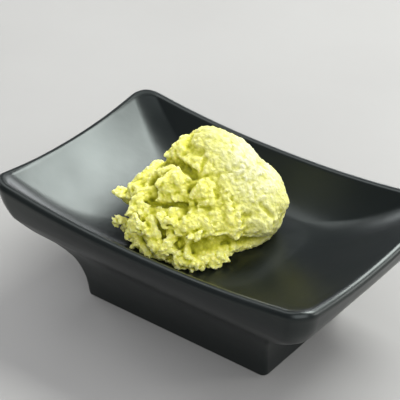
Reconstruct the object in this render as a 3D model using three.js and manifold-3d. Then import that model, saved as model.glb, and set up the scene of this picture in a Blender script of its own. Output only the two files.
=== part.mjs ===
// Freshly grated wasabi heaped in a small footed soy dish of black glazed ceramic.
// Millimetres, +Z up. The origin is at the middle of the foot's base, +X runs along the dish.
import * as THREE from 'three';
import Module from 'manifold-3d';

const wasm = await Module();
wasm.setup();

// ---- driving dimensions of the dish ----
const DISH_LENGTH = 90;
const DISH_WIDTH = 58;
const RIM_HEIGHT = 29; // at the middle of a long side
const CORNER_LIFT = 3.2; // how far each corner turns up above that
const END_LIFT = 0.8; // how far the middle of a short side is above it
const LIFT_CURVE = 2.3; // more keeps the lift nearer to the corners
const LIFT_ROUNDING = 3; // length along the rim over which a corner's crest is rounded
const LIFT_FADE = 6; // how quickly the lift fades down the outside
const CORNER_FADE = 1.6; // how quickly the corners sharpen down the outside
const RIM_CORNER_RADIUS = 5.5;
const LIP_RADIUS = 1.3; // the rounded edge of a 2.6 mm wall
const LIP_START = THREE.MathUtils.degToRad(-40); // where the inner wall meets the lip
const FLOOR_HEIGHT = 20; // top of the flat floor inside
const FLOOR_HALF_LENGTH = 19;
const FLOOR_HALF_WIDTH = 15.5;
const FLOOR_CORNER_RADIUS = 8;
const WALL_CURVE = 1.7; // 1 is a straight inner wall, more is a deeper sweep
const FOOT_CORNER_RADIUS = 1.4;
const FOOT_HOLLOW_CORNER_RADIUS = 2;
const FOOT_EDGE = 0.5; // small bevel round the foot's lower edges

// Half length, half width and height of the outside, from under the lip down to the foot.
const OUTSIDE = [
  [45.0, 29.0, 27.7],
  [43.3, 27.7, 23.8],
  [38.2, 25.0, 19.6],
  [32.2, 21.6, 15.8],
  [28.6, 18.9, 11.6],
  [27.0, 17.0, 6.0],
  [26.5, 16.1, 0.5],
];
// The same for the hollow under the foot, from its lower edge up to its ceiling.
const HOLLOW = [
  [22.4, 12.0, 0.5],
  [22.9, 12.8, 7.0],
  [24.0, 14.2, 12.5],
  [23.0, 13.2, 16.0],
  [21.0, 11.2, 16.8],
];

// ---- facets of the dish ----
const CORNER_STEPS = 6;
const LONG_SIDE_STEPS = 8;
const SHORT_SIDE_STEPS = 6;
const WALL_STEPS = 7;
const LIP_STEPS = 5;
const OUTSIDE_STEPS = 13;
const HOLLOW_STEPS = 6;

// ---- driving dimensions of the wasabi ----
const HEAP_TURN = THREE.MathUtils.degToRad(37); // its broad side is turned from the dish's length
const HEAP_GAP = 0.35; // to the dish that it rests in
const HEAP_LOW = new THREE.Vector3(-26, -20, 18); // corners of a box that holds it
const HEAP_HIGH = new THREE.Vector3(19, 22, 48);
const FACET = 0.95; // size of the facets that it is made of
const BLEND = 1; // how softly its lumps run together
const RELIEF_REACH = 5; // farther than this from the plain lumps their relief doesn't matter
const SEED = 38;
const GRAIN_TURN = THREE.MathUtils.degToRad(60); // of the relief's cells, round the line x = y = z

// Lumps of the heap in its own turned frame: x across, y to the back, z up, then the radii.
const LUMPS = [
  { at: [-0.5, 3.0, 26.0], radii: [13.0, 13.0, 15.5] }, // body
  { at: [-1.4, 4.5, 36.8], radii: [6.8, 7.5, 8.5] }, // crown
  { at: [3.6, 4.0, 33.5], radii: [6.8, 8.0, 8.2] }, // brow, under the crown
  { at: [7.8, 3.0, 27.6], radii: [8.8, 10.5, 9.0] }, // packed right flank
  { at: [7.6, 0.5, 23.6], radii: [6.4, 7.0, 5.0] }, // foot of that flank
  { at: [-9.5, 2.0, 27.5], radii: [8.6, 9.5, 8.6] }, // left shoulder
  { at: [-13.2, -2.4, 23.0], radii: [6.6, 7.4, 5.2] }, // foot of the shoulder
  { at: [-3.0, -4.0, 26.0], radii: [10.0, 8.5, 8.0] }, // front
  { at: [-4.7, -12.2, 21.8], radii: [6.1, 4.0, 3.6] }, // clump that slid down in front
  { at: [-11.4, -7.6, 21.8], radii: [4.4, 3.8, 3.4] }, // clump beside it
  { at: [-7.7, 5.2, 38.6], radii: [2.8, 3.0, 3.0] }, // knob beside the crown
  { at: [-15.5, 3.2, 30.6], radii: [3.6, 3.4, 3.0] }, // step above the shoulder
  { at: [-20.2, 2.6, 28.2], radii: [3.8, 3.0, 1.5] }, // lump that stands out on the left
  { at: [-20.0, -1.2, 24.8], radii: [3.6, 1.5, 1.0] }, // shred below it
  { at: [-18.2, -2.4, 24.0], radii: [2.4, 1.8, 1.4] }, // root of that shred
  { at: [0.0, 10.0, 25.0], radii: [10.0, 8.0, 10.0] }, // back
  { at: [-9.2, -2.6, 34.7], radii: [3.9, 3.6, 3.5] }, // round clump over the long crease
  { at: [-12.6, -6.0, 29.2], radii: [2.8, 2.4, 1.9] }, // clump under it
  { at: [-18.0, -4.2, 27.8], radii: [1.7, 1.7, 1.6] }, // ridge from the left lump down to the front
  { at: [-15.6, -7.9, 27.6], radii: [1.8, 1.8, 1.7] }, // its next part
  { at: [-13.2, -9.6, 26.3], radii: [1.7, 1.7, 1.6] }, // the part after that
  { at: [-11.2, -10.9, 25.0], radii: [1.5, 1.5, 1.4] }, // its lower end
  { at: [-6.0, -10.4, 29.2], radii: [4.2, 2.4, 2.2] }, // bulge over the ledge
  { at: [4.0, -10.2, 27.6], radii: [1.7, 1.7, 3.6] }, // upright clump beside it
  { at: [9.0, -6.6, 27.0], radii: [4.0, 2.8, 2.8] }, // bulge at the lower right
  { at: [14.9, 0.0, 28.6], radii: [1.6, 1.8, 1.4] }, // small lip that stands out on the right
];

// Creases in the same frame, each along a path on the surface.
const CREASES = [
  {
    depth: 4.4, width: 2.8, // between the lump and the shred on the left
    path: [[-23, 1.5, 26.4], [-19.5, -0.7, 26.8], [-18.5, -2.3, 26.6], [-18.9, -3.9, 25.7]],
  },
  {
    depth: 3.6, width: 2.3, // ledge above the clump in front
    path: [[-4.3, -14, 24.9], [-0.7, -12.8, 25.9], [1.6, -12, 25.7], [3.6, -11.1, 24.5]],
  },
  {
    depth: 2.4, width: 1, // long crease across the left half
    path: [[-15.5, -4, 30.7], [-13, -5.8, 31.4], [-10.2, -6.8, 32], [-7.4, -7.6, 33]],
  },
  {
    depth: 1.4, width: 0.9, // crease down from the crown
    path: [[-2, -1.9, 41.7], [-4.1, -4.9, 37.7], [-5.6, -5.9, 35.7]],
  },
  {
    depth: 2.6, width: 1.7, // over the clump at the long crease
    path: [[-12.7, 3.6, 35.6], [-11.3, 4.9, 36.5], [-9.4, 1.1, 38], [-4.6, -3.4, 38.6]],
  },
  {
    depth: 3.4, width: 2, // left of that clump
    path: [[-14, -0.1, 34.7], [-13.4, -2.9, 33.8], [-14.4, -3.9, 32.3]],
  },
  {
    depth: 1.5, width: 1.3, // above the ridge
    path: [[-13.8, -7.2, 31.2], [-12.4, -9.8, 29.1], [-11.3, -10.8, 26.2]],
  },
  {
    depth: 1.8, width: 1.6, // under the ridge
    path: [[-19.5, -4.6, 25.4], [-17.1, -9, 25], [-14.5, -10.8, 23.8]],
  },
  {
    depth: 2.4, width: 1.4, // between the two clumps in front
    path: [[-10.9, -10.6, 25.5], [-10.8, -12.1, 23.9], [-10, -13.5, 22.6]],
  },
  {
    depth: 3.4, width: 2.2, // overhang at the lower right
    path: [[5.2, -10.4, 24.4], [8, -9, 23.2], [10.8, -7.6, 22.4]],
  },
  {
    depth: 2.8, width: 1.5, // behind the knob
    path: [[-5.6, 7, 44.4], [-6.4, 3, 42.7], [-5.2, 0.4, 42.4], [-3.4, -0.8, 42.6]],
  },
  {
    depth: 0.5, width: 1, // down the right flank
    path: [[10.6, -6.5, 32], [12.4, -6.6, 29.4], [13.7, -6.5, 26.6]],
  },
  {
    depth: 1.2, width: 1.6, // under the lip on the right
    path: [[16.4, -0.8, 26], [15.6, -3.2, 25.4]],
  },
  {
    depth: 1.2, width: 0.9, // nick in the front
    path: [[0.4, -7.4, 36.3], [0.5, -8.2, 34.9]],
  },
];

// Stirring of the lumps' outlines and then relief of the surface, coarse to fine.
const STIR = [{ size: 5, reach: 0.9 }, { size: 2.2, reach: 0.5 }, { size: 1.1, reach: 0.25 }];
const RELIEF = [{ size: 3.6, height: 1.2 }, { size: 1.9, height: 0.8 }, { size: 1.1, height: 0.6 }];
const RELIEF_MIDDLE = 0.28; // where the relief neither adds nor takes away
const STIR_CHANNEL = 10;
const CREASE_STIR = 0.6; // share of the stirring that bends the creases
const CRUMBLY = 0.75; // at the point where the heap is neither loose nor pressed, and its least:
const CRUMBLY_LEAST = 0.25;
const PRESSED_BY = new THREE.Vector3(0.06, 0.012, 0.03); // how much more pressed per mm of x, y, z
const PRESSED_FROM = new THREE.Vector3(0, 0, 27);
const CALM = [{ at: [-9.2, -4.5, 36], reach: 5.5 }, { at: [-3.4, -11.5, 31], reach: 7 }]; // less crumbly
const CALM_SHARE = 0.5;
const SCATTER = [374761393, 668265263, 1274126177, 1013904223]; // odd numbers that mix the bits well

// ---- closed solids from rings of points ----

// Points of a rounded rectangle, anticlockwise, with the same count whatever its size.
function roundedRectangle(halfLength, halfWidth, radius, height) {
  const points = [];
  const corners = [[1, 1, 0], [-1, 1, 1], [-1, -1, 2], [1, -1, 3]];
  for (const [signX, signY, quarter] of corners) {
    const cx = signX * (halfLength - radius);
    const cy = signY * (halfWidth - radius);
    for (let i = 0; i <= CORNER_STEPS; i++) {
      const angle = (quarter + i / CORNER_STEPS) * Math.PI / 2;
      points.push(new THREE.Vector3(cx + radius * Math.cos(angle), cy + radius * Math.sin(angle), height));
    }
    const longSide = quarter % 2 === 0;
    const steps = longSide ? LONG_SIDE_STEPS : SHORT_SIDE_STEPS;
    const length = 2 * ((longSide ? halfLength : halfWidth) - radius);
    const from = points[points.length - 1];
    const direction = new THREE.Vector3(longSide ? -signX : 0, longSide ? 0 : -signY, 0);
    for (let i = 1; i < steps; i++) {
      const share = (1 - Math.cos(Math.PI * i / steps)) / 2;
      points.push(from.clone().addScaledVector(direction, length * share));
    }
  }
  return points;
}

// Height that the turned-up corners add to the rim at each point of a ring.
function cornerLift() {
  const lift = [];
  const halfArc = Math.PI * RIM_CORNER_RADIUS / 4;
  for (let quarter = 0; quarter < 4; quarter++) {
    const longSide = quarter % 2 === 0;
    for (let i = 0; i <= CORNER_STEPS; i++) {
      const along = 2 * i / CORNER_STEPS - 1;
      lift.push(liftAt(halfArc * Math.abs(along), along > 0 === longSide));
    }
    const steps = longSide ? LONG_SIDE_STEPS : SHORT_SIDE_STEPS;
    const length = (longSide ? DISH_LENGTH : DISH_WIDTH) - 2 * RIM_CORNER_RADIUS;
    for (let i = 1; i < steps; i++) {
      const share = (1 - Math.cos(Math.PI * i / steps)) / 2;
      lift.push(liftAt(halfArc + length * Math.min(share, 1 - share), longSide));
    }
  }
  return lift;
}

function liftAt(fromCorner, onLongSide) {
  const lowest = onLongSide ? 0 : END_LIFT;
  const reach = (onLongSide ? DISH_LENGTH : DISH_WIDTH) / 2 - LIFT_ROUNDING;
  const distance = Math.hypot(fromCorner, LIFT_ROUNDING) - LIFT_ROUNDING;
  return lowest + (CORNER_LIFT - lowest) * Math.max(0, 1 - distance / reach) ** LIFT_CURVE;
}

// Skin through a list of rings, closed by a flat fan at each end. It faces out where the rings,
// which run anticlockwise seen from above, start at the solid's lower end.
function loft(rings) {
  const count = rings[0].length;
  const positions = [];
  const indices = [];
  for (const point of rings.flat()) {
    positions.push(point.x, point.y, point.z);
  }
  for (let ring = 0; ring < rings.length - 1; ring++) {
    for (let i = 0; i < count; i++) {
      const a = ring * count + i;
      const b = ring * count + (i + 1) % count;
      indices.push(a, b, b + count, a, b + count, a + count);
    }
  }
  for (const [ring, flip] of [[0, true], [rings.length - 1, false]]) {
    const middle = positions.length / 3;
    positions.push(0, 0, rings[ring][0].z);
    for (let i = 0; i < count; i++) {
      const a = ring * count + i;
      const b = ring * count + (i + 1) % count;
      indices.push(middle, flip ? b : a, flip ? a : b);
    }
  }
  const geometry = new THREE.BufferGeometry();
  geometry.setAttribute('position', new THREE.Float32BufferAttribute(positions, 3));
  geometry.setIndex(indices);
  return geometry;
}

// ---- the dish ----

const LIFT = cornerLift();

function raised(ring, share) {
  ring.forEach((point, i) => {
    point.z += LIFT[i] * share;
  });
  return ring;
}

// Rings of the inner surface, from the edge of the flat floor up to the lip.
function insideRings(lifted = 0) {
  const rings = [];
  const lipX = DISH_LENGTH / 2 - LIP_RADIUS + LIP_RADIUS * Math.sin(LIP_START);
  const lipY = DISH_WIDTH / 2 - LIP_RADIUS + LIP_RADIUS * Math.sin(LIP_START);
  const lipZ = RIM_HEIGHT - LIP_RADIUS + LIP_RADIUS * Math.cos(LIP_START);
  for (let i = 0; i <= WALL_STEPS; i++) {
    const out = i / WALL_STEPS;
    const halfLength = THREE.MathUtils.lerp(FLOOR_HALF_LENGTH, lipX, out);
    const halfWidth = THREE.MathUtils.lerp(FLOOR_HALF_WIDTH, lipY, out);
    const height = THREE.MathUtils.lerp(FLOOR_HEIGHT, lipZ, out ** WALL_CURVE) + lifted;
    const radius = THREE.MathUtils.lerp(FLOOR_CORNER_RADIUS, RIM_CORNER_RADIUS - LIP_RADIUS, out);
    rings.push(raised(roundedRectangle(halfLength, halfWidth, radius, height), out ** 2));
  }
  return rings;
}

function lipRings() {
  const rings = [];
  for (let i = 1; i <= LIP_STEPS; i++) {
    const angle = THREE.MathUtils.lerp(LIP_START, Math.PI / 2, i / LIP_STEPS);
    const inset = LIP_RADIUS - LIP_RADIUS * Math.sin(angle);
    const height = RIM_HEIGHT - LIP_RADIUS + LIP_RADIUS * Math.cos(angle);
    rings.push(raised(roundedRectangle(
      DISH_LENGTH / 2 - inset, DISH_WIDTH / 2 - inset, RIM_CORNER_RADIUS - inset, height), 1));
  }
  return rings;
}

// Rings along a smooth curve through the given half sizes and heights.
function ringsAlong(stations, steps, radiusFrom, radiusTo, lift) {
  const rings = [];
  const curve = new THREE.CatmullRomCurve3(stations.map((station) => new THREE.Vector3(...station)));
  for (let i = 0; i <= steps; i++) {
    const share = i / steps;
    const { x, y, z } = curve.getPointAt(share);
    const radius = THREE.MathUtils.lerp(radiusFrom, radiusTo, Math.min(1, share * CORNER_FADE));
    rings.push(raised(roundedRectangle(x, y, radius, z), lift ? Math.max(0, 1 - share * LIFT_FADE) : 0));
  }
  return rings;
}

function dishGeometry() {
  const outside = ringsAlong(OUTSIDE, OUTSIDE_STEPS, RIM_CORNER_RADIUS, FOOT_CORNER_RADIUS, true);
  const hollow = ringsAlong(
    HOLLOW, HOLLOW_STEPS, FOOT_HOLLOW_CORNER_RADIUS, FOOT_HOLLOW_CORNER_RADIUS, false);
  const [footX, footY] = OUTSIDE[OUTSIDE.length - 1];
  const [hollowX, hollowY] = HOLLOW[0];
  const fromFloorToHollow = [
    ...insideRings(),
    ...lipRings(),
    ...outside.slice(1), // its first ring is the last one of the lip
    roundedRectangle(footX - FOOT_EDGE, footY - FOOT_EDGE, FOOT_CORNER_RADIUS, 0),
    roundedRectangle(hollowX + FOOT_EDGE, hollowY + FOOT_EDGE, FOOT_HOLLOW_CORNER_RADIUS, 0),
    ...hollow,
  ];
  return loft(fromFloorToHollow.reverse());
}

// Everything above the dish's inner surface, less the gap: what lies in the dish is trimmed to it.
function spaceInDish() {
  const rings = insideRings(HEAP_GAP);
  const top = roundedRectangle(DISH_LENGTH / 2, DISH_WIDTH / 2, RIM_CORNER_RADIUS, 3 * RIM_HEIGHT);
  return loft([...rings, top]);
}

// ---- relief of grated root ----

// A number from 0 to 1 that depends only on three whole numbers and a channel.
function scatter(i, j, k, channel) {
  let h = Math.imul(i, SCATTER[0]) + Math.imul(j, SCATTER[1]) + Math.imul(k, SCATTER[2]);
  h = (h + Math.imul(channel + SEED, SCATTER[3])) | 0;
  h = Math.imul(h ^ (h >>> 13), SCATTER[2]);
  h = Math.imul(h ^ (h >>> 15), SCATTER[1]);
  return ((h ^ (h >>> 16)) >>> 0) / 2 ** 32;
}

// Smooth noise from -1 to 1, with features of the given size.
function noise(point, size, channel) {
  const x = point.x / size;
  const y = point.y / size;
  const z = point.z / size;
  const i = Math.floor(x);
  const j = Math.floor(y);
  const k = Math.floor(z);
  const along = THREE.MathUtils.smoothstep(x - i, 0, 1);
  const across = THREE.MathUtils.smoothstep(y - j, 0, 1);
  const up = THREE.MathUtils.smoothstep(z - k, 0, 1);
  let sum = 0;
  for (const a of [0, 1]) {
    for (const b of [0, 1]) {
      for (const c of [0, 1]) {
        const weight = (a ? along : 1 - along) * (b ? across : 1 - across) * (c ? up : 1 - up);
        sum += weight * scatter(i + a, j + b, k + c, channel);
      }
    }
  }
  return 2 * sum - 1;
}

// How crumbly the heap is: little where it was pressed smooth, on the right and the top.
function crumbliness(point) {
  let pressed = PRESSED_BY.dot(point.clone().sub(PRESSED_FROM));
  for (const { at, reach } of CALM) {
    const away = Math.hypot(point.x - at[0], point.y - at[1], point.z - at[2]);
    pressed += CALM_SHARE * THREE.MathUtils.clamp(1 - away / reach, 0, 1);
  }
  return THREE.MathUtils.clamp(CRUMBLY - pressed, CRUMBLY_LEAST, 1);
}

// Distance outside the heap's plain lumps, less than zero inside.
function lumpDistance(point) {
  let sum = 0;
  for (const { at, radii } of LUMPS) {
    const reach = Math.hypot(
      (point.x - at[0]) / radii[0], (point.y - at[1]) / radii[1], (point.z - at[2]) / radii[2]);
    sum += Math.exp(-(reach - 1) * Math.min(...radii) / BLEND);
  }
  return -BLEND * Math.log(sum);
}

// How far the lumps' outlines are moved about at a point.
function stir(point) {
  const moved = new THREE.Vector3();
  STIR.forEach(({ size, reach }, n) => {
    const channel = STIR_CHANNEL + 3 * n;
    moved.x += reach * noise(point, size, channel);
    moved.y += reach * noise(point, size, channel + 1);
    moved.z += reach * noise(point, size, channel + 2);
  });
  return moved;
}

const creaseLines = CREASES.map(({ depth, width, path }) => {
  const points = path.map((place) => new THREE.Vector3(...place));
  return { depth, width, lines: points.slice(1).map((point, i) => new THREE.Line3(points[i], point)) };
});

// Depth of the deepest crease at a point, less towards its sides.
function creaseDepth(point) {
  const nearest = new THREE.Vector3();
  let deepest = 0;
  for (const { depth, width, lines } of creaseLines) {
    for (const line of lines) {
      const aside = line.closestPointToPoint(point, true, nearest).distanceTo(point);
      deepest = Math.max(deepest, depth * (1 - aside / width));
    }
  }
  return deepest;
}

const grainTurn = new THREE.Matrix4().makeRotationAxis(new THREE.Vector3(1, 1, 1).normalize(), GRAIN_TURN);

// Distance outside the heap, with its outlines stirred, its relief raised and its creases cut.
function heapDistance(point) {
  const plain = lumpDistance(point);
  if (Math.abs(plain) > RELIEF_REACH) {
    return plain;
  }
  const rough = crumbliness(point);
  const grain = point.clone().applyMatrix4(grainTurn);
  const stirred = stir(grain);
  const lumps = lumpDistance(point.clone().addScaledVector(stirred, rough));
  let relief = 0;
  RELIEF.forEach(({ size, height }, n) => {
    relief += height * (Math.abs(noise(grain, size, n)) - RELIEF_MIDDLE);
  });
  const creased = creaseDepth(point.clone().addScaledVector(stirred, CREASE_STIR));
  return lumps - relief * rough + creased;
}

// ---- a closed skin where a field passes through zero ----

const AXES = [0, 1, 2];
const CUBE = [0, 1, 2, 3, 4, 5, 6, 7]; // the bits of a corner's number are its x, y and z

// The field at the points of a grid, with the points on the grid's sides always outside.
function sampled(field, low, high, step) {
  const size = high.clone().sub(low).divideScalar(step).ceil().toArray();
  const stride = [1, size[0], size[0] * size[1]];
  const values = new Float32Array(stride[2] * size[2]);
  const placeOf = (index) => stride.map((count, axis) => Math.floor(index / count) % size[axis]);
  const pointAt = (x, y, z) => new THREE.Vector3(x, y, z).multiplyScalar(step).add(low);
  for (let index = 0; index < values.length; index++) {
    const place = placeOf(index);
    const atSide = place.some((n, axis) => n === 0 || n === size[axis] - 1);
    values[index] = atSide ? step : field(pointAt(...place));
  }
  const corners = CUBE.map((corner) => {
    return (corner & 1) + (corner >> 1 & 1) * stride[1] + (corner >> 2) * stride[2];
  });
  return { values, stride, corners, cubes: values.length - corners[7], placeOf, pointAt };
}

// True where the corners of a cube hang together along its edges.
function joined(some) {
  const reached = [some[0]];
  for (const corner of reached) {
    for (const axis of AXES) {
      const next = corner ^ (1 << axis);
      if (some.includes(next) && !reached.includes(next)) {
        reached.push(next);
      }
    }
  }
  return reached.length === some.length;
}

// Fills points until no cube holds two pieces of the solid, or of the space round it, that meet only
// across the cube: there the skin would touch itself.
function partTouching({ values, corners, cubes }) {
  let filled = true;
  while (filled) {
    filled = false;
    for (let cube = 0; cube < cubes; cube++) {
      const full = CUBE.filter((corner) => values[cube + corners[corner]] < 0);
      if (full.length > 1 && full.length < 7) {
        const empty = CUBE.filter((corner) => !full.includes(corner));
        if (!joined(full) || !joined(empty)) {
          const places = empty.map((corner) => cube + corners[corner]);
          const nearest = places.reduce((a, b) => (values[a] < values[b] ? a : b));
          values[nearest] = -Math.abs(values[nearest]) / 2;
          filled = true;
        }
      }
    }
  }
}

// One vertex in each cube that the surface crosses, at the middle of the crossings on its edges.
function vertices({ values, corners, cubes, placeOf, pointAt }) {
  const positions = [];
  const vertexIn = new Map();
  for (let cube = 0; cube < cubes; cube++) {
    const middle = new THREE.Vector3();
    let crossings = 0;
    for (const corner of CUBE) {
      for (const axis of AXES) {
        const next = corner | (1 << axis);
        const from = values[cube + corners[corner]];
        const to = values[cube + corners[next]];
        if (from < 0 !== to < 0) {
          const crossing = new THREE.Vector3(corner & 1, corner >> 1 & 1, corner >> 2);
          middle.add(crossing.setComponent(axis, from / (from - to)));
          crossings += 1;
        }
      }
    }
    if (crossings > 0) {
      const [x, y, z] = placeOf(cube);
      middle.divideScalar(crossings);
      vertexIn.set(cube, positions.length);
      positions.push(pointAt(x + middle.x, y + middle.y, z + middle.z));
    }
  }
  return { positions, vertexIn };
}

// Skin of the solid, with two triangles across each edge of the grid that the surface crosses.
function skin(grid) {
  const { values, stride, cubes } = grid;
  const { positions, vertexIn } = vertices(grid);
  const indices = [];
  for (let index = 0; index < cubes; index++) {
    for (const axis of AXES) {
      const from = values[index];
      const to = values[index + stride[axis]];
      if (from < 0 !== to < 0) {
        const across = stride[(axis + 1) % 3];
        const along = stride[(axis + 2) % 3];
        const around = [index - across - along, index - along, index, index - across];
        const [a, b, c, d] = (from < 0 ? around : around.reverse()).map((cube) => vertexIn.get(cube));
        const shortAC = positions[a].distanceTo(positions[c]) < positions[b].distanceTo(positions[d]);
        indices.push(...(shortAC ? [a, b, c, a, c, d] : [a, b, d, b, c, d]));
      }
    }
  }
  const geometry = new THREE.BufferGeometry().setFromPoints(positions);
  geometry.setIndex(indices);
  return geometry;
}

// ---- the wasabi ----

function toSolid(geometry) {
  return new wasm.Manifold(new wasm.Mesh({
    numProp: 3,
    vertProperties: new Float32Array(geometry.attributes.position.array),
    triVerts: new Uint32Array(geometry.index.array),
  }));
}

function toGeometry(solid) {
  const mesh = solid.getMesh();
  const geometry = new THREE.BufferGeometry();
  geometry.setAttribute('position', new THREE.BufferAttribute(new Float32Array(mesh.vertProperties), 3));
  geometry.setIndex(new THREE.BufferAttribute(new Uint32Array(mesh.triVerts), 1));
  return geometry;
}

function wasabiGeometry() {
  const grid = sampled(heapDistance, HEAP_LOW, HEAP_HIGH, FACET);
  partTouching(grid);
  const heap = toSolid(skin(grid).rotateZ(HEAP_TURN)).intersect(toSolid(spaceInDish()));
  const bodies = heap.decompose(); // the heap and any loose scraps beside it
  return toGeometry(bodies.reduce((a, b) => (a.volume() > b.volume() ? a : b)));
}

// ---- the part ----

const blackGlaze = new THREE.MeshStandardMaterial({ color: 0x0b0c0e, roughness: 0.3, metalness: 0 });
const gratedRoot = new THREE.MeshStandardMaterial({ color: 0xc9cf5a, roughness: 0.7, metalness: 0 });

function namedMesh(name, geometry, material) {
  const mesh = new THREE.Mesh(geometry, material);
  mesh.name = name;
  return mesh;
}

const part = new THREE.Group();
part.add(namedMesh('dish', dishGeometry(), blackGlaze));
part.add(namedMesh('wasabi_mound', wasabiGeometry(), gratedRoot));

export default part;
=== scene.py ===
"""Freshly grated wasabi heaped in a small footed dish of black glazed ceramic.

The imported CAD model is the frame. The dish is made again here as a smooth glazed skin of the same
sections, and the heap as a fine-grained one round the same lumps. Millimetres are turned into
metres where a mesh is made.
"""
import math

import bpy
import numpy as np
from mathutils import Matrix, Vector


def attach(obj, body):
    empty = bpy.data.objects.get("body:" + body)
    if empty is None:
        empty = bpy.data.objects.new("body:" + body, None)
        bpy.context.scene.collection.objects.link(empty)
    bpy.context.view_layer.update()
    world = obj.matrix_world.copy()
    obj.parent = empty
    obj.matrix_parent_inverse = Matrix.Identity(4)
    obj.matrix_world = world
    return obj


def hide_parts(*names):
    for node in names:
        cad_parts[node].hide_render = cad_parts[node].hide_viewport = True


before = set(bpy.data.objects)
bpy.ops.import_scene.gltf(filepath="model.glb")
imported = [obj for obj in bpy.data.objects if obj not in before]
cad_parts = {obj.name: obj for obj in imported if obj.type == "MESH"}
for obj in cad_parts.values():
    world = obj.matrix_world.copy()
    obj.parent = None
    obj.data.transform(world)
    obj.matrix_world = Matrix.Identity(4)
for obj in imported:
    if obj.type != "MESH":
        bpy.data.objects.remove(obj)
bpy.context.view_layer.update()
MM = 0.001

# ---- the dish, in millimetres, as in the CAD model ----
DISH_LENGTH, DISH_WIDTH = 90.0, 58.0
RIM_HEIGHT = 29.0
CORNER_LIFT, END_LIFT = 3.2, 0.8
LIFT_CURVE, LIFT_ROUNDING = 2.3, 3.0
LIFT_FADE, CORNER_FADE = 6.0, 1.6  # how fast the lift and round corners fade down the outside
RIM_CORNER_RADIUS = 5.5
LIP_RADIUS = 1.3
LIP_START = math.radians(-40)
LIP_X = DISH_LENGTH / 2 - LIP_RADIUS + LIP_RADIUS * math.sin(LIP_START)
LIP_Y = DISH_WIDTH / 2 - LIP_RADIUS + LIP_RADIUS * math.sin(LIP_START)
LIP_Z = RIM_HEIGHT - LIP_RADIUS + LIP_RADIUS * math.cos(LIP_START)
FLOOR_HEIGHT = 20.0
FLOOR_HALF_LENGTH, FLOOR_HALF_WIDTH = 19.0, 15.5
FLOOR_CORNER_RADIUS = 8.0
WALL_CURVE = 1.7
FOOT_CORNER_RADIUS = 1.4
HOLLOW_CORNER_RADIUS = 2.0
FOOT_EDGE = 0.5
OUTSIDE = [  # half length, half width and height, from under the lip down to the foot
    (45.0, 29.0, 27.7),
    (43.3, 27.7, 23.8),
    (38.2, 25.0, 19.6),
    (32.2, 21.6, 15.8),
    (28.6, 18.9, 11.6),
    (27.0, 17.0, 6.0),
    (26.5, 16.1, 0.5),
]
HOLLOW = [  # the same for the hollow under the foot, from its lower edge up to its ceiling
    (22.4, 12.0, 0.5),
    (22.9, 12.8, 7.0),
    (24.0, 14.2, 12.5),
    (23.0, 13.2, 16.0),
    (21.0, 11.2, 16.8),
]
CORNER_STEPS, LONG_STEPS, SHORT_STEPS = 20, 44, 30  # round each ring
WALL_RINGS, LIP_RINGS, OUTSIDE_RINGS, BEVEL_RINGS, HOLLOW_RINGS = 40, 14, 60, 6, 24
FLOOR_SHARES = np.linspace(0.08, 1, 9)[:-1]  # sizes of the rings inside the flat floor
CEILING_SHARES = np.linspace(1, 0.1, 7)[1:]  # the same for the hollow's ceiling
HALVINGS = 14  # to find the dish's height under a point of the heap
CURVE_STEPS = 40  # between two stations of a smooth curve, before it is spaced evenly

# ---- the heap, in its own turned frame: x across, y to the back, z up ----
HEAP_TURN = math.radians(37)
HEAP_GAP = 0.05
BLEND = 1.0
LUMPS = [
    ((-0.5, 3.0, 26.0), (13.0, 13.0, 15.5)),  # body
    ((-1.4, 4.5, 36.8), (6.8, 7.5, 8.5)),  # crown
    ((3.6, 4.0, 33.5), (6.8, 8.0, 8.2)),  # brow, under the crown
    ((7.8, 3.0, 27.6), (8.8, 10.5, 9.0)),  # packed right flank
    ((7.6, 0.5, 23.6), (6.4, 7.0, 5.0)),  # foot of that flank
    ((-9.5, 2.0, 27.5), (8.6, 9.5, 8.6)),  # left shoulder
    ((-13.2, -2.4, 23.0), (6.6, 7.4, 5.2)),  # foot of the shoulder
    ((-3.0, -4.0, 26.0), (10.0, 8.5, 8.0)),  # front
    ((-4.7, -12.2, 21.8), (6.1, 4.0, 3.6)),  # clump that slid down in front
    ((-11.4, -7.6, 21.8), (4.4, 3.8, 3.4)),  # clump beside it
    ((-7.7, 5.2, 38.6), (2.8, 3.0, 3.0)),  # knob beside the crown
    ((-15.5, 3.2, 30.6), (3.6, 3.4, 3.0)),  # step above the shoulder
    ((-20.2, 2.6, 28.2), (3.8, 3.0, 1.5)),  # lump that stands out on the left
    ((-20.0, -1.2, 24.8), (3.6, 1.5, 1.0)),  # shred below it
    ((-18.2, -2.4, 24.0), (2.4, 1.8, 1.4)),  # root of that shred
    ((0.0, 10.0, 25.0), (10.0, 8.0, 10.0)),  # back
    ((-9.2, -2.6, 34.7), (3.9, 3.6, 3.5)),  # round clump over the long crease
    ((-12.6, -6.0, 29.2), (2.8, 2.4, 1.9)),  # clump under it
    ((-18.0, -4.2, 27.8), (1.7, 1.7, 1.6)),  # ridge from the left lump down to the front
    ((-15.6, -7.9, 27.6), (1.8, 1.8, 1.7)),  # its next part
    ((-13.2, -9.6, 26.3), (1.7, 1.7, 1.6)),  # the part after that
    ((-11.2, -10.9, 25.0), (1.5, 1.5, 1.4)),  # its lower end
    ((-6.0, -10.4, 29.2), (4.2, 2.4, 2.2)),  # bulge over the ledge
    ((4.0, -10.2, 27.6), (1.7, 1.7, 3.6)),  # upright clump beside it
    ((9.0, -6.6, 27.0), (4.0, 2.8, 2.8)),  # bulge at the lower right
    ((14.9, 0.0, 28.6), (1.6, 1.8, 1.4)),  # small lip that stands out on the right
]
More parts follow.
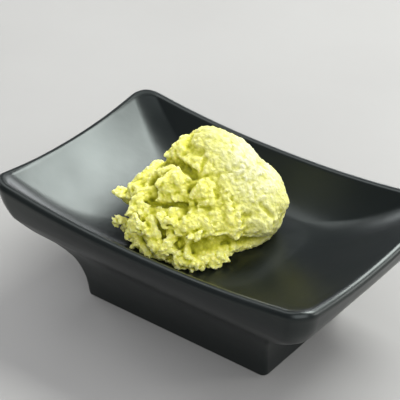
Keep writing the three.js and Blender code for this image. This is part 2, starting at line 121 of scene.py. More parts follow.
# Depth and width of each crease, and its path along the surface.
CREASES = [
    # ledge above the clump in front
    (3.6, 2.3, [(-4.3, -14, 24.9), (-0.7, -12.8, 25.9), (1.6, -12, 25.7), (3.6, -11.1, 24.5)]),
    # between the lump and the shred on the left
    (4.4, 2.8, [(-23, 1.5, 26.4), (-19.5, -0.7, 26.8), (-18.5, -2.3, 26.6), (-18.9, -3.9, 25.7)]),
    # long crease across the left half
    (2.4, 1.0, [(-15.5, -4, 30.7), (-13, -5.8, 31.4), (-10.2, -6.8, 32), (-7.4, -7.6, 33)]),
    # crease down from the crown
    (1.4, 0.9, [(-2, -1.9, 41.7), (-4.1, -4.9, 37.7), (-5.6, -5.9, 35.7)]),
    # over the clump at the long crease, then left of it
    (2.6, 1.7, [(-12.7, 3.6, 35.6), (-11.3, 4.9, 36.5), (-9.4, 1.1, 38), (-4.6, -3.4, 38.6)]),
    (3.4, 2.0, [(-14, -0.1, 34.7), (-13.4, -2.9, 33.8), (-14.4, -3.9, 32.3)]),
    # above the ridge, then under it
    (1.5, 1.3, [(-13.8, -7.2, 31.2), (-12.4, -9.8, 29.1), (-11.3, -10.8, 26.2)]),
    (1.8, 1.6, [(-19.5, -4.6, 25.4), (-17.1, -9, 25), (-14.5, -10.8, 23.8)]),
    # between the two clumps in front
    (2.4, 1.4, [(-10.9, -10.6, 25.5), (-10.8, -12.1, 23.9), (-10, -13.5, 22.6)]),
    # overhang at the lower right
    (3.4, 2.2, [(5.2, -10.4, 24.4), (8, -9, 23.2), (10.8, -7.6, 22.4)]),
    # behind the knob
    (2.8, 1.5, [(-5.6, 7, 44.4), (-6.4, 3, 42.7), (-5.2, 0.4, 42.4), (-3.4, -0.8, 42.6)]),
    # down the right flank
    (0.5, 1.0, [(10.6, -6.5, 32), (12.4, -6.6, 29.4), (13.7, -6.5, 26.6)]),
    # under the lip on the right
    (1.2, 1.6, [(16.4, -0.8, 26.0), (15.6, -3.2, 25.4)]),
    # nick in the front
    (1.2, 0.9, [(0.4, -7.4, 36.3), (0.5, -8.2, 34.9)]),
]
STIR = [(5.0, 0.9), (2.2, 0.5), (1.1, 0.25)]  # size and reach of the stirring of those outlines
# Size, height and evenness of each size of crumb.
RELIEF = [(3.6, 1.2, 0), (1.9, 0.8, 0), (1.1, 0.6, 0.15), (0.65, 0.45, 0.5)]
RELIEF_MIDDLE = 0.28  # where the relief neither adds nor takes away
RELIEF_REACH = 4.5  # farther than this from the plain lumps their relief doesn't matter
STIR_CHANNEL = 10
CREASE_STIR = 0.6  # share of the stirring that bends the creases
SEED = 38
SCATTER = [374761393, 668265263, 1274126177, 1013904223]  # odd numbers that mix the bits well
# The cells of the stirring and the relief are turned, so that no row of them shows.
GRAIN_TURN = np.array(Matrix.Rotation(math.radians(60), 3, Vector((1, 1, 1))))
CRUMBLY, CRUMBLY_LEAST = 0.75, 0.25  # where nothing presses the heap, and where it is smoothest
# How much more pressed it is for each millimetre of x, y and z from a point.
PRESSED_BY, PRESSED_FROM = (0.06, 0.012, 0.03), (0, 0, 27)
# Less crumbly places with their reach, and how much less they are at their middle.
CALM = [((-9.2, -4.5, 36.0), 5.5), ((-3.4, -11.5, 31.0), 7.0)]
CALM_SHARE = 0.5
PAINTED_HIGHLIGHT_MIDDLE, PAINTED_HIGHLIGHT_REACH = (9.5, 1.5, 38.5), 11.0  # middle and reach of a painted highlight that pales the pressed upper right
VOXEL = 0.28
HEAP_LOW, HEAP_HIGH = (-25.0, -18.0, 19.6), (19.0, 21.0, 48.0)  # corners of a box that holds it
SLIVER = 0.16  # share of the space round a point below which a thin bit falls off
SLIVER_RADIUS, SLIVER_STEEPNESS = 2, 10  # that space in voxels, and how sharply the bit ends
CREVICE_RADIUS, HOLLOW_RADIUS = 3, 9  # voxels round a point that tell how deep it lies
EASE = 0.2  # how far the grid's stairs are eased out of the surface


# ---------------------------------------------------------------- meshes

def new_piece(name, points, faces, material, node):
    """A smooth-shaded mesh that stands for one node of the CAD model."""
    mesh = bpy.data.meshes.new(name)
    mesh.from_pydata((points * MM).tolist(), [], faces)
    mesh.validate()
    mesh.polygons.foreach_set("use_smooth", [True] * len(mesh.polygons))
    mesh.materials.append(material)
    obj = bpy.data.objects.new(name, mesh)
    bpy.context.scene.collection.objects.link(obj)
    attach(obj, "root")
    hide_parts(node)
    return obj


# ---------------------------------------------------------------- the dish

def lerp(a, b, share):
    return a + (b - a) * share


def side_shares(steps):
    """Places along a straight side, closer together near its ends."""
    return (1 - np.cos(np.pi * np.arange(1, steps) / steps)) / 2


def rounded_rectangle(half_length, half_width, radius, height):
    """Points round a rectangle with round corners, anticlockwise, always the same count."""
    points = []
    for quarter, (sx, sy) in enumerate(((1, 1), (-1, 1), (-1, -1), (1, -1))):
        angles = (quarter + np.arange(CORNER_STEPS + 1) / CORNER_STEPS) * np.pi / 2
        cx, cy = sx * (half_length - radius), sy * (half_width - radius)
        arc = np.c_[cx + radius * np.cos(angles), cy + radius * np.sin(angles)]
        along_x = quarter % 2 == 0
        length = 2 * ((half_length if along_x else half_width) - radius)
        direction = np.array([-sx, 0]) if along_x else np.array([0, -sy])
        shares = side_shares(LONG_STEPS if along_x else SHORT_STEPS)
        points += [arc, arc[-1] + np.outer(shares * length, direction)]
    flat = np.concatenate(points)
    return np.c_[flat, np.full(len(flat), height)]


def lift_at(from_corner, on_long_side):
    """Height that a turned-up corner adds to the rim at a distance along it."""
    lowest = 0.0 if on_long_side else END_LIFT
    reach = (DISH_LENGTH if on_long_side else DISH_WIDTH) / 2 - LIFT_ROUNDING
    distance = math.hypot(from_corner, LIFT_ROUNDING) - LIFT_ROUNDING
    return lowest + (CORNER_LIFT - lowest) * max(0.0, 1 - distance / reach) ** LIFT_CURVE


def corner_lift():
    """Height that the turned-up corners add to the rim at each point of a ring."""
    lift = []
    half_arc = math.pi * RIM_CORNER_RADIUS / 4
    for quarter in range(4):
        on_long = quarter % 2 == 0
        for along in np.linspace(-1, 1, CORNER_STEPS + 1):
            lift.append(lift_at(half_arc * abs(along), (along > 0) == on_long))
        length = (DISH_LENGTH if on_long else DISH_WIDTH) - 2 * RIM_CORNER_RADIUS
        for share in side_shares(LONG_STEPS if on_long else SHORT_STEPS):
            lift.append(lift_at(half_arc + length * min(share, 1 - share), on_long))
    return np.array(lift)


LIFT = corner_lift()


def raised(ring, share):
    """The ring with a share of the corners' lift."""
    ring[:, 2] += LIFT * share
    return ring


def smooth_curve(stations, count):
    """Points evenly spaced along a smooth curve through the stations."""
    knots = np.array(stations)
    ends = np.vstack([2 * knots[0] - knots[1], knots, 2 * knots[-1] - knots[-2]])
    fine = []
    for a, b, c, d in zip(ends, ends[1:], ends[2:], ends[3:]):
        for t in np.linspace(0, 1, CURVE_STEPS, endpoint=False):
            fine.append(0.5 * (2 * b + (c - a) * t + (2 * a - 5 * b + 4 * c - d) * t ** 2
                               + (3 * b - a - 3 * c + d) * t ** 3))
    fine = np.vstack([fine, knots[-1]])
    length = np.r_[0, np.cumsum(np.linalg.norm(np.diff(fine, axis=0), axis=1))]
    wanted = np.linspace(0, length[-1], count)
    return np.stack([np.interp(wanted, length, fine[:, i]) for i in range(3)], axis=1)


def dish_rings():
    """Rings from the middle of the floor over the lip, down the outside and up into the hollow."""
    rings = []
    for share in FLOOR_SHARES:
        rings.append(rounded_rectangle(
            FLOOR_HALF_LENGTH * share, FLOOR_HALF_WIDTH * share, FLOOR_CORNER_RADIUS * share,
            FLOOR_HEIGHT))
    for out in np.linspace(0, 1, WALL_RINGS):
        rings.append(raised(rounded_rectangle(
            lerp(FLOOR_HALF_LENGTH, LIP_X, out), lerp(FLOOR_HALF_WIDTH, LIP_Y, out),
            lerp(FLOOR_CORNER_RADIUS, RIM_CORNER_RADIUS - LIP_RADIUS, out),
            lerp(FLOOR_HEIGHT, LIP_Z, out ** WALL_CURVE)), out ** 2))
    for angle in np.linspace(LIP_START, math.pi / 2, LIP_RINGS)[1:]:
        inset = LIP_RADIUS - LIP_RADIUS * math.sin(angle)
        height = RIM_HEIGHT - LIP_RADIUS + LIP_RADIUS * math.cos(angle)
        rings.append(raised(rounded_rectangle(
            DISH_LENGTH / 2 - inset, DISH_WIDTH / 2 - inset, RIM_CORNER_RADIUS - inset, height), 1))
    outside = smooth_curve(OUTSIDE, OUTSIDE_RINGS)
    for i, (x, y, z) in enumerate(outside[1:], 1):
        share = i / (len(outside) - 1)
        radius = lerp(RIM_CORNER_RADIUS, FOOT_CORNER_RADIUS, min(1, share * CORNER_FADE))
        rings.append(raised(rounded_rectangle(x, y, radius, z), max(0, 1 - share * LIFT_FADE)))
    foot_x, foot_y, foot_z = OUTSIDE[-1]
    hollow_x, hollow_y, _ = HOLLOW[0]
    for angle in np.linspace(0, math.pi / 2, BEVEL_RINGS)[1:]:
        inset = FOOT_EDGE * (1 - math.cos(angle))
        rings.append(rounded_rectangle(
            foot_x - inset, foot_y - inset, FOOT_CORNER_RADIUS,
            foot_z - FOOT_EDGE * math.sin(angle)))
    for angle in np.linspace(math.pi / 2, 0, BEVEL_RINGS):
        inset = FOOT_EDGE * (1 - math.cos(angle))
        rings.append(rounded_rectangle(
            hollow_x + inset, hollow_y + inset, HOLLOW_CORNER_RADIUS,
            foot_z - FOOT_EDGE * math.sin(angle)))
    for x, y, z in smooth_curve(HOLLOW, HOLLOW_RINGS)[1:]:
        rings.append(rounded_rectangle(x, y, HOLLOW_CORNER_RADIUS, z))
    top_x, top_y, top_z = HOLLOW[-1]
    for share in CEILING_SHARES:
        rings.append(rounded_rectangle(
            top_x * share, top_y * share, HOLLOW_CORNER_RADIUS * share, top_z))
    return rings


def make_dish(material):
    rings = dish_rings()
    count = len(rings[0])
    faces = []
    for ring in range(len(rings) - 1):
        a = ring * count + np.arange(count)
        b = ring * count + (np.arange(count) + 1) % count
        faces.append(np.stack([a, b, b + count, a + count], axis=1)[:, ::-1])
    faces = np.concatenate(faces).tolist()
    faces.append(list(range(count)))
    faces.append(list(range((len(rings) - 1) * count, len(rings) * count))[::-1])
    new_piece("glazed_dish", np.concatenate(rings), faces, material, "dish")


# ---------------------------------------------------------------- relief of grated root

def scatter(i, j, k, channel):
    """A number from 0 to 1 that depends only on three whole numbers and a channel."""
    with np.errstate(over="ignore"):
        i, j, k = (v.astype(np.int64).astype(np.uint32) for v in (i, j, k))
        h = i * np.uint32(SCATTER[0]) + j * np.uint32(SCATTER[1]) + k * np.uint32(SCATTER[2])
        h = h + np.uint32((channel + SEED) * SCATTER[3] % 2 ** 32)
        h = (h ^ (h >> np.uint32(13))) * np.uint32(SCATTER[2])
        h = (h ^ (h >> np.uint32(15))) * np.uint32(SCATTER[1])
        return (h ^ (h >> np.uint32(16))).astype(np.float64) / 2 ** 32


def value_noise(points, size, channel):
    """Smooth noise from -1 to 1, with features of the given size."""
    p = points / size
    cell = np.floor(p)
    part = p - cell
    part = part * part * (3 - 2 * part)
    total = np.zeros(len(p))
    for a in (0, 1):
        for b in (0, 1):
            for c in (0, 1):
                weight = np.prod(np.where([a, b, c], part, 1 - part), axis=1)
                total += weight * scatter(cell[:, 0] + a, cell[:, 1] + b, cell[:, 2] + c, channel)
    return 2 * total - 1


def nearness(p, at, reach):
    """From 1 at a place down to 0 where its reach ends."""
    return np.clip(1 - np.linalg.norm(p - at, axis=1) / reach, 0, 1)


def crumbliness(p):
    """How crumbly the heap is: little where it was pressed smooth, on the right and the top."""
    pressed = (p - PRESSED_FROM) @ PRESSED_BY
    for at, reach in CALM:
        pressed += CALM_SHARE * nearness(p, at, reach)
    return np.clip(CRUMBLY - pressed, CRUMBLY_LEAST, 1)


def lump_distance(p):
    """Distance outside the heap's plain lumps, less than zero inside."""
    total = np.zeros(len(p))
    for at, radii in LUMPS:
        reach = np.sqrt((((p - at) / radii) ** 2).sum(axis=1))
        total += np.exp(-(reach - 1) * min(radii) / BLEND)
    return -BLEND * np.log(total)


def stir(p):
    """How far the lumps' outlines are moved about at each point."""
    moved = np.zeros_like(p)
    for n, (size, reach) in enumerate(STIR):
        for axis in range(3):
            moved[:, axis] += reach * value_noise(p, size, STIR_CHANNEL + 3 * n + axis)
    return moved


def crease_depth(p):
    """Depth of the deepest crease at each point, less towards its sides."""
    deepest = np.zeros(len(p))
    for depth, width, path in CREASES:
        for start, end in zip(np.array(path, float), np.array(path[1:], float)):
            line = end - start
            share = np.clip((p - start) @ line / (line @ line), 0, 1)
            aside = np.linalg.norm(p - start - share[:, None] * line, axis=1)
            deepest = np.maximum(deepest, depth * (1 - aside / width))
    return deepest


def heap_distance(p):
    """Distance outside the heap, with stirred outlines, raised relief and cut creases."""
    rough = crumbliness(p)
    grain = p @ GRAIN_TURN.T
    stirred = stir(grain)
    relief = np.zeros(len(p))
    for n, (size, height, evenness) in enumerate(RELIEF):
        share = lerp(rough, 1, evenness)
        relief += height * share * (np.abs(value_noise(grain, size, n)) - RELIEF_MIDDLE)
    lumps = lump_distance(p + stirred * rough[:, None])
    return lumps - relief + crease_depth(p + CREASE_STIR * stirred)


def dish_height(x, y):
    """Height of the dish's inner surface, found by halving the way from its floor to its lip."""
    low, high = np.zeros_like(x), np.ones_like(x)
    for _ in range(HALVINGS):
        out = (low + high) / 2
        radius = lerp(FLOOR_CORNER_RADIUS, RIM_CORNER_RADIUS - LIP_RADIUS, out)
        dx = np.maximum(np.abs(x) - lerp(FLOOR_HALF_LENGTH, LIP_X, out) + radius, 0)
        dy = np.maximum(np.abs(y) - lerp(FLOOR_HALF_WIDTH, LIP_Y, out) + radius, 0)
        beyond = np.hypot(dx, dy) > radius
        low, high = np.where(beyond, out, low), np.where(beyond, high, out)
    return lerp(FLOOR_HEIGHT, LIP_Z, high ** WALL_CURVE)


# ---------------------------------------------------------------- the heap

def turned(x, y):
    """From the heap's own frame to the dish's."""
    cos, sin = math.cos(HEAP_TURN), math.sin(HEAP_TURN)
    return x * cos - y * sin, x * sin + y * cos


def heap_field():
    """Distance outside the heap on a grid of voxels, with the grid's axes."""
    axes = [np.arange(a, b, VOXEL) for a, b in zip(HEAP_LOW, HEAP_HIGH)]
    shape = tuple(len(axis) for axis in axes)
    points = np.stack(np.meshgrid(*axes, indexing="ij"), axis=-1).reshape(-1, 3)
    field = lump_distance(points)
    band = np.abs(field) < RELIEF_REACH
    field[band] = heap_distance(points[band])
    field = field.reshape(shape)
    thickness = box_blur((field < 0).astype(np.float32), SLIVER_RADIUS)
    field = np.maximum(field, (SLIVER - thickness) * SLIVER_STEEPNESS * VOXEL)
    floor = dish_height(*turned(*np.meshgrid(axes[0], axes[1], indexing="ij"))) + HEAP_GAP
    return np.maximum(field, floor[..., None] - axes[2][None, None, :]), axes


def surface_net(field, low, step):
    """Quads of the surface where the field changes sign, with one point in each cell it crosses."""
    inside = field < 0
    size = [voxels - 1 for voxels in field.shape]
    corners = [(a, b, c) for a in (0, 1) for b in (0, 1) for c in (0, 1)]
    count = sum(inside[a:a + size[0], b:b + size[1], c:c + size[2]].astype(np.int8)
                for a, b, c in corners)
    crossed = (count > 0) & (count < 8)
    cells = np.argwhere(crossed)
    number = np.full(crossed.shape, -1, np.int64)
    number[crossed] = np.arange(len(cells))
    value = {(a, b, c): field[cells[:, 0] + a, cells[:, 1] + b, cells[:, 2] + c]
             for a, b, c in corners}
    total, hits = np.zeros((len(cells), 3)), np.zeros(len(cells))
    for a in corners:
        for axis in range(3):
            if a[axis] == 0:
                b = tuple(1 if other == axis else a[other] for other in range(3))
                cross = (value[a] < 0) != (value[b] < 0)
                share = value[a][cross] / (value[a][cross] - value[b][cross])
                total[cross] += np.array(a) + share[:, None] * (np.array(b) - a)
                hits[cross] += 1
    points = np.array(low) + step * (cells + total / hits[:, None])
    quads = []
    for axis in range(3):
        u, v = (axis + 1) % 3, (axis + 2) % 3
        ends = [slice(None)] * 3
        ends[axis] = slice(1, None)
        starts = [slice(None)] * 3
        starts[axis] = slice(None, -1)
        edges = np.argwhere(inside[tuple(starts)] != inside[tuple(ends)])
        within = [(edges[:, w] > 0) & (edges[:, w] < size[w]) for w in (u, v)]
        edges = edges[within[0] & within[1]]
        ring = []
        for du, dv in ((-1, -1), (0, -1), (0, 0), (-1, 0)):
            cell = edges.copy()
            cell[:, u] += du
            cell[:, v] += dv
            ring.append(number[cell[:, 0], cell[:, 1], cell[:, 2]])
        quad = np.stack(ring, axis=1)
        starts_inside = inside[edges[:, 0], edges[:, 1], edges[:, 2]]
        quads.append(np.where(starts_inside[:, None], quad, quad[:, ::-1]))
    return points, np.concatenate(quads)


def largest_body(points, quads):
    """Drops every loose scrap and sealed hollow, and keeps the one outer skin."""
    label = np.arange(len(points))
    edges = np.concatenate([quads[:, [0, 1]], quads[:, [1, 2]], quads[:, [2, 3]]])
    while True:
        lowest = np.minimum(label[edges[:, 0]], label[edges[:, 1]])
        new = label.copy()
        np.minimum.at(new, edges[:, 0], lowest)
        np.minimum.at(new, edges[:, 1], lowest)
        new = new[new]
        if (new == label).all():
            break
        label = new
    body = np.bincount(label).argmax()
    keep = label == body
    renumber = np.cumsum(keep) - 1
    return points[keep], renumber[quads[keep[quads[:, 0]]]]


def box_blur(values, radius):
    """Mean over a cube of voxels."""
    for axis in range(3):
        pad = [(0, 0)] * 3
        pad[axis] = (radius + 1, radius)
        sums = np.cumsum(np.pad(values, pad, mode="edge"), axis=axis)
        width = 2 * radius + 1
        size = values.shape[axis]
        ends, starts = sums.take(range(width, width + size), axis), sums.take(range(size), axis)
        values = (ends - starts) / width
    return values


def sample(values, points, low, step):
    """Values of a grid between its voxels."""
    place = (points - low) / step
    cell = np.clip(np.floor(place).astype(int), 0, np.array(values.shape) - 2)
    part = place - cell
    result = 0
    for a in (0, 1):
        for b in (0, 1):
            for c in (0, 1):
                weight = np.prod(np.where([a, b, c], part, 1 - part), axis=1)
                result = result + weight * values[cell[:, 0] + a, cell[:, 1] + b, cell[:, 2] + c]
    return result


def eased(points, quads):
    """Each point moved a little towards the middle of its neighbours."""
    edges = np.concatenate([quads[:, [i, (i + 1) % 4]] for i in range(4)])
    hits = np.bincount(edges[:, 0], minlength=len(points))
    totals = [np.bincount(edges[:, 0], points[edges[:, 1], axis], len(points)) for axis in range(3)]
    return lerp(points, np.stack(totals, 1) / hits[:, None], EASE)


def make_heap(material):
    field, axes = heap_field()
    low = np.array([axis[0] for axis in axes])
    points, quads = largest_body(*surface_net(field, low, VOXEL))
    points = eased(points, quads)
    solid = (field < 0).astype(np.float32)
    surface_values = {
        # How deep each point lies, which sets the painted shade in creases and hollows.
        "crevice": sample(box_blur(solid, CREVICE_RADIUS), points, low, VOXEL),
        "hollow": sample(box_blur(solid, HOLLOW_RADIUS), points, low, VOXEL),
        "pressed": 1 - crumbliness(points),
        # Nearness to the upper right, where a painted highlight pales the pressed root.
        "painted_highlight": nearness(points, PAINTED_HIGHLIGHT_MIDDLE, PAINTED_HIGHLIGHT_REACH),
    }
    placed = np.c_[(*turned(points[:, 0], points[:, 1]), points[:, 2])]
    heap = new_piece(
        "wasabi_heap", placed, quads.tolist(), material, "wasabi_mound")
    for name, values in surface_values.items():
        attribute = heap.data.attributes.new(name, "FLOAT", "POINT")
        attribute.data.foreach_set("value", values.astype(np.float32))


# ---------------------------------------------------------------- materials

# How many times each pattern repeats in a metre.
DRIFT_SCALE, PEEL_SCALE, GRAIN_SCALE, FINE_SCALE, MOTTLE_SCALE = 60, 420, 1150, 2200, 9
GRAIN_STIR_SCALE, GRAIN_STIR = 0.8, 0.0008  # against the grains' own scale, and its reach in metres
NOISE_RANGE = (0.3, 0.7)  # most of a noise's values lie between these
GRAIN_RANGE = (0, 0.7)  # from the middle of a grain to its edge
PAINTED_HIGHLIGHT_RANGE = (0, 0.6)  # from where the pressed root has no painted highlight to where the painted highlight is palest
PRESSED_RANGE = (0.35, 0.75)  # from where the root looks loose to where it looks packed
PEEL_BUMP, FINE_BUMP = (0.06, 0.0004), (0.45, 0.0004)  # strength, and height in metres
GRAIN_BUMP, GRAIN_HEIGHT = (0.55, 0.3), 0.0005  # strength where loose and where packed, and height

GLAZE = {
    "Base Color": (0.004, 0.0055, 0.0055, 1),
    "IOR": 1.5,
    "Specular IOR Level": 0.42,
    "Specular Tint": (0.9, 1, 0.97, 1),
}
GLAZE_ROUGHNESS = (0.28, 0.37)
ROOT = {
    "Roughness": 0.62,
    "Specular IOR Level": 0.25,
    "Subsurface Weight": 0.5,
    "Subsurface Radius": (1.0, 0.9, 0.3),
    "Subsurface Scale": 0.001,
}
BOARD = {"Roughness": 0.75}
BOARD_TONES = [(0.3, (0.29, 0.285, 0.275)), (0.7, (0.32, 0.315, 0.305))]

# Tones of the root from the top of a clump down into a crease, by the share of root close round it:
# the root's own tone, with painted shade that darkens it and deepens its yellow-green towards the
# bottom of each crease.
CRUMBLY_TONES_AND_CREASE_SHADE = [
    (0.36, (0.98, 0.95, 0.40)),
    (0.52, (0.94, 0.90, 0.22)),
    (0.63, (0.68, 0.67, 0.04)),
    (0.74, (0.36, 0.37, 0.004)),
]
DENSE_TONES_AND_CREASE_SHADE = [(0.42, (0.62, 0.61, 0.27)), (0.60, (0.50, 0.49, 0.09))]
# Painted highlight: a paler, whiter tone for the pressed upper right, which also darkens into the
# creases as painted shade.
PAINTED_HIGHLIGHT_TONES = [(0.42, (0.66, 0.65, 0.46)), (0.60, (0.54, 0.53, 0.18))]
# Shade of a hollow, by the share of root in a wider space, and of the gaps between grains.
HOLLOW_SHADES = [(0.47, (1, 1, 1)), (0.57, (0.80, 0.80, 0.50)), (0.67, (0.45, 0.46, 0.10))]
LOOSE_SHADES = [(0.15, (1, 1, 1)), (0.7, (0.80, 0.81, 0.55))]
PACKED_SHADES = [(0.15, (1, 1, 1)), (0.7, (0.94, 0.94, 0.80))]


def new_material(name, settings):
    material = bpy.data.materials.new(name)
    material.use_nodes = True
    nodes = material.node_tree.nodes
    nodes.clear()
    output = nodes.new("ShaderNodeOutputMaterial")
    shader = nodes.new("ShaderNodeBsdfPrincipled")
    for setting, value in settings.items():
        shader.inputs[setting].default_value = value
    material.node_tree.links.new(shader.outputs["BSDF"], output.inputs["Surface"])
    return material, nodes, material.node_tree.links, shader


def put(links, value, socket):
    """A number or another node's socket into a socket."""
    if isinstance(value, (int, float)):
        socket.default_value = value
    else:
        links.new(value, socket)


def noise(nodes, links, vector, scale, detail=4.0, roughness=0.5, output="Fac"):
    node = nodes.new("ShaderNodeTexNoise")
    node.inputs["Scale"].default_value = scale
    node.inputs["Detail"].default_value = detail
    node.inputs["Roughness"].default_value = roughness
    links.new(vector, node.inputs["Vector"])
    return node.outputs[output]


def grains(nodes, links, vector):
    """Uneven grains side by side: 0 at the middle of each and larger towards its edge."""
    stirred = noise(nodes, links, vector, GRAIN_STIR_SCALE * GRAIN_SCALE, output="Color")
    node = nodes.new("ShaderNodeTexVoronoi")
    node.inputs["Scale"].default_value = GRAIN_SCALE
    links.new(blend(nodes, links, GRAIN_STIR, vector, stirred, "ADD"), node.inputs["Vector"])
    return node.outputs["Distance"]


def ramp(nodes, links, value, stops):
    node = nodes.new("ShaderNodeValToRGB")
    while len(node.color_ramp.elements) < len(stops):
        node.color_ramp.elements.new(0.5)
    for element, (place, colour) in zip(node.color_ramp.elements, stops):
        element.position = place
        element.color = (*colour, 1)
    links.new(value, node.inputs["Fac"])
    return node.outputs["Color"]


def remap(nodes, links, value, source, target=(0, 1)):
    node = nodes.new("ShaderNodeMapRange")
    for name, number in zip(("From Min", "From Max", "To Min", "To Max"), (*source, *target)):
        node.inputs[name].default_value = number
    links.new(value, node.inputs["Value"])
    return node.outputs["Result"]


def blend(nodes, links, share, first, second, kind="MIX"):
    """One colour mixed into another."""
    node = nodes.new("ShaderNodeMix")
    node.data_type = "RGBA"
    node.blend_type = kind
    put(links, share, node.inputs["Factor"])
    links.new(first, node.inputs["A"])
    links.new(second, node.inputs["B"])
    return node.outputs["Result"]


def surface_value(nodes, name):
    node = nodes.new("ShaderNodeAttribute")
    node.attribute_name = name
    return node.outputs["Fac"]


def bump(nodes, links, height, strength, distance, normal=None):
    node = nodes.new("ShaderNodeBump")
    put(links, strength, node.inputs["Strength"])
    node.inputs["Distance"].default_value = distance
    links.new(height, node.inputs["Height"])
    if normal is not None:
        links.new(normal, node.inputs["Normal"])
    return node.outputs["Normal"]


def object_space(nodes):
    return nodes.new("ShaderNodeTexCoord").outputs["Object"]


def glaze_material():
    """Black satin glaze, with faint orange peel and soft drifts in its gloss."""
    material, nodes, links, shader = new_material("black_glaze", GLAZE)
    place = object_space(nodes)
    drift = noise(nodes, links, place, DRIFT_SCALE, detail=3)
    links.new(remap(nodes, links, drift, NOISE_RANGE, GLAZE_ROUGHNESS), shader.inputs["Roughness"])
    peel = noise(nodes, links, place, PEEL_SCALE, detail=2)
    links.new(bump(nodes, links, peel, *PEEL_BUMP), shader.inputs["Normal"])
    return material


def wasabi_material():
    """Moist grated root, pale on the grains, with painted shade that makes it darker and deeper
    yellow-green in the creases, hollows and gaps between grains, and a painted highlight that pales
    the pressed upper right.
    """
    material, nodes, links, shader = new_material("grated_wasabi", ROOT)
    place = object_space(nodes)
    crevice, hollow, pressed, painted_highlight = (
        surface_value(nodes, name) for name in ("crevice", "hollow", "pressed", "painted_highlight"))
    # Painted shade: each tone darkens into the creases, by how deep the point lies.
    crumbly = ramp(nodes, links, crevice, CRUMBLY_TONES_AND_CREASE_SHADE)
    dense = ramp(nodes, links, crevice, DENSE_TONES_AND_CREASE_SHADE)
    pale = ramp(nodes, links, crevice, PAINTED_HIGHLIGHT_TONES)
    # The painted highlight is blended into the pressed root's colour near its upper right.
    smooth = blend(nodes, links, remap(nodes, links, painted_highlight, PAINTED_HIGHLIGHT_RANGE), dense, pale)
    smoothness = remap(nodes, links, pressed, PRESSED_RANGE)
    surface = blend(nodes, links, smoothness, crumbly, smooth)
    shade = ramp(nodes, links, hollow, HOLLOW_SHADES)
    shaded = blend(nodes, links, 1.0, surface, shade, "MULTIPLY")
    # Painted shade in the gaps between grains: darker towards each grain's edge, more where the
    # root is loose.
    gaps = grains(nodes, links, place)
    loose = ramp(nodes, links, gaps, LOOSE_SHADES)
    packed = ramp(nodes, links, gaps, PACKED_SHADES)
    grain_gap_shade = blend(nodes, links, smoothness, loose, packed)
    links.new(blend(nodes, links, 1.0, shaded, grain_gap_shade, "MULTIPLY"), shader.inputs["Base Color"])
    fine = noise(nodes, links, place, FINE_SCALE, roughness=0.65)
    grain_height = remap(nodes, links, gaps, GRAIN_RANGE, (1, 0))
    grain_strength = remap(nodes, links, smoothness, (0, 1), GRAIN_BUMP)
    rounded = bump(nodes, links, grain_height, grain_strength, GRAIN_HEIGHT)
    links.new(bump(nodes, links, fine, *FINE_BUMP, rounded), shader.inputs["Normal"])
    return material


def floor_material():
    """Pale matt board."""
    material, nodes, links, shader = new_material("pale_floor", BOARD)
    mottle = noise(nodes, links, object_space(nodes), MOTTLE_SCALE, detail=5)
    links.new(ramp(nodes, links, mottle, BOARD_TONES), shader.inputs["Base Color"])
    return material


# ---------------------------------------------------------------- camera, light, floor

CAMERA_AZIMUTH, CAMERA_ELEVATION = math.radians(37), math.radians(36.6)
CAMERA_DISTANCE = 0.387
FOCAL_PIXELS, FRAME_PIXELS = 1600.0, 400
ORIGIN_PIXEL = (215.0, 301.5)  # where the middle of the foot's base is in the frame
SENSOR = 36.0
CLIP_START = 0.01
LIGHT_TARGET = Vector((0, 0, 0.025))
WHITE, COOL = (1, 1, 1), (0.97, 0.98, 1)
FLOOR_SIZE, FLOOR_DROP = 6, 0.00002  # the floor is just under the foot
LIGHTS = [  # name, direction, distance, size, power and colour of each soft light
    ("window", (0.10, 0.64, 0.75), 0.7, (0.44, 0.26), 6.4, (0.98, 1, 0.98)),
    ("skylight", (-0.48, 0.15, 0.86), 0.8, (0.40, 0.40), 1.3, WHITE),
    ("side window", (0.72, 0.62, 0.30), 0.8, (0.32, 0.32), 2.0, (1, 0.99, 0.96)),
    ("fill", (0.55, -0.50, 0.67), 0.9, (1.1, 1.0), 8.8, COOL),
    ("left", (-0.95, 0.1, 0.35), 0.9, (0.6, 0.4), 3.0, COOL),
    ("far", (-0.1, 0.96, 0.2), 1.2, (1.1, 0.3), 5.2, COOL),
]
SKY, SKY_STRENGTH = (0.9, 0.93, 1, 1), 0.22


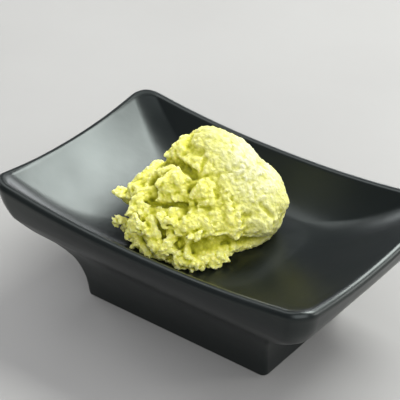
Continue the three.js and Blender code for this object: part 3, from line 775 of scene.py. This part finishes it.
def make_camera():
    level = math.cos(CAMERA_ELEVATION)
    back = Vector((math.sin(CAMERA_AZIMUTH) * level, -math.cos(CAMERA_AZIMUTH) * level,
                   math.sin(CAMERA_ELEVATION)))
    right = Vector((math.cos(CAMERA_AZIMUTH), math.sin(CAMERA_AZIMUTH), 0))
    up = back.cross(right)
    across = (ORIGIN_PIXEL[0] - FRAME_PIXELS / 2) / FOCAL_PIXELS
    down = (ORIGIN_PIXEL[1] - FRAME_PIXELS / 2) / FOCAL_PIXELS
    sight = (-back - right * across + up * down).normalized()
    side = sight.cross(Vector((0, 0, 1))).normalized()
    data = bpy.data.cameras.new("camera")
    data.sensor_width = SENSOR
    data.lens = SENSOR * FOCAL_PIXELS / FRAME_PIXELS
    data.clip_start = CLIP_START
    camera = bpy.data.objects.new("camera", data)
    turn = Matrix((side, side.cross(sight), -sight)).transposed()
    camera.matrix_world = Matrix.Translation(back * CAMERA_DISTANCE) @ turn.to_4x4()
    bpy.context.scene.collection.objects.link(camera)
    bpy.context.scene.camera = camera


def soft_light(name, direction, distance, size, power, colour):
    data = bpy.data.lights.new(name, "AREA")
    data.shape = "RECTANGLE"
    data.size, data.size_y = size
    data.energy = power
    data.color = colour
    light = bpy.data.objects.new(name, data)
    place = Vector(direction).normalized() * distance + LIGHT_TARGET
    light.location = place
    light.rotation_euler = (LIGHT_TARGET - place).to_track_quat("-Z", "Y").to_euler()
    bpy.context.scene.collection.objects.link(light)


def make_floor():
    bpy.ops.mesh.primitive_plane_add(size=FLOOR_SIZE, location=(0, 0, -FLOOR_DROP))
    floor = bpy.context.object
    floor.name = "floor"
    floor.data.materials.append(floor_material())


def make_lights():
    """The soft lights and an even sky."""
    for light in LIGHTS:
        soft_light(*light)
    world = bpy.data.worlds.new("studio")
    world.use_nodes = True
    background = world.node_tree.nodes["Background"]
    background.inputs["Color"].default_value = SKY
    background.inputs["Strength"].default_value = SKY_STRENGTH
    bpy.context.scene.world = world
    bpy.context.scene.view_settings.view_transform = "Standard"


make_camera()
make_floor()
make_lights()
make_dish(glaze_material())
make_heap(wasabi_material())
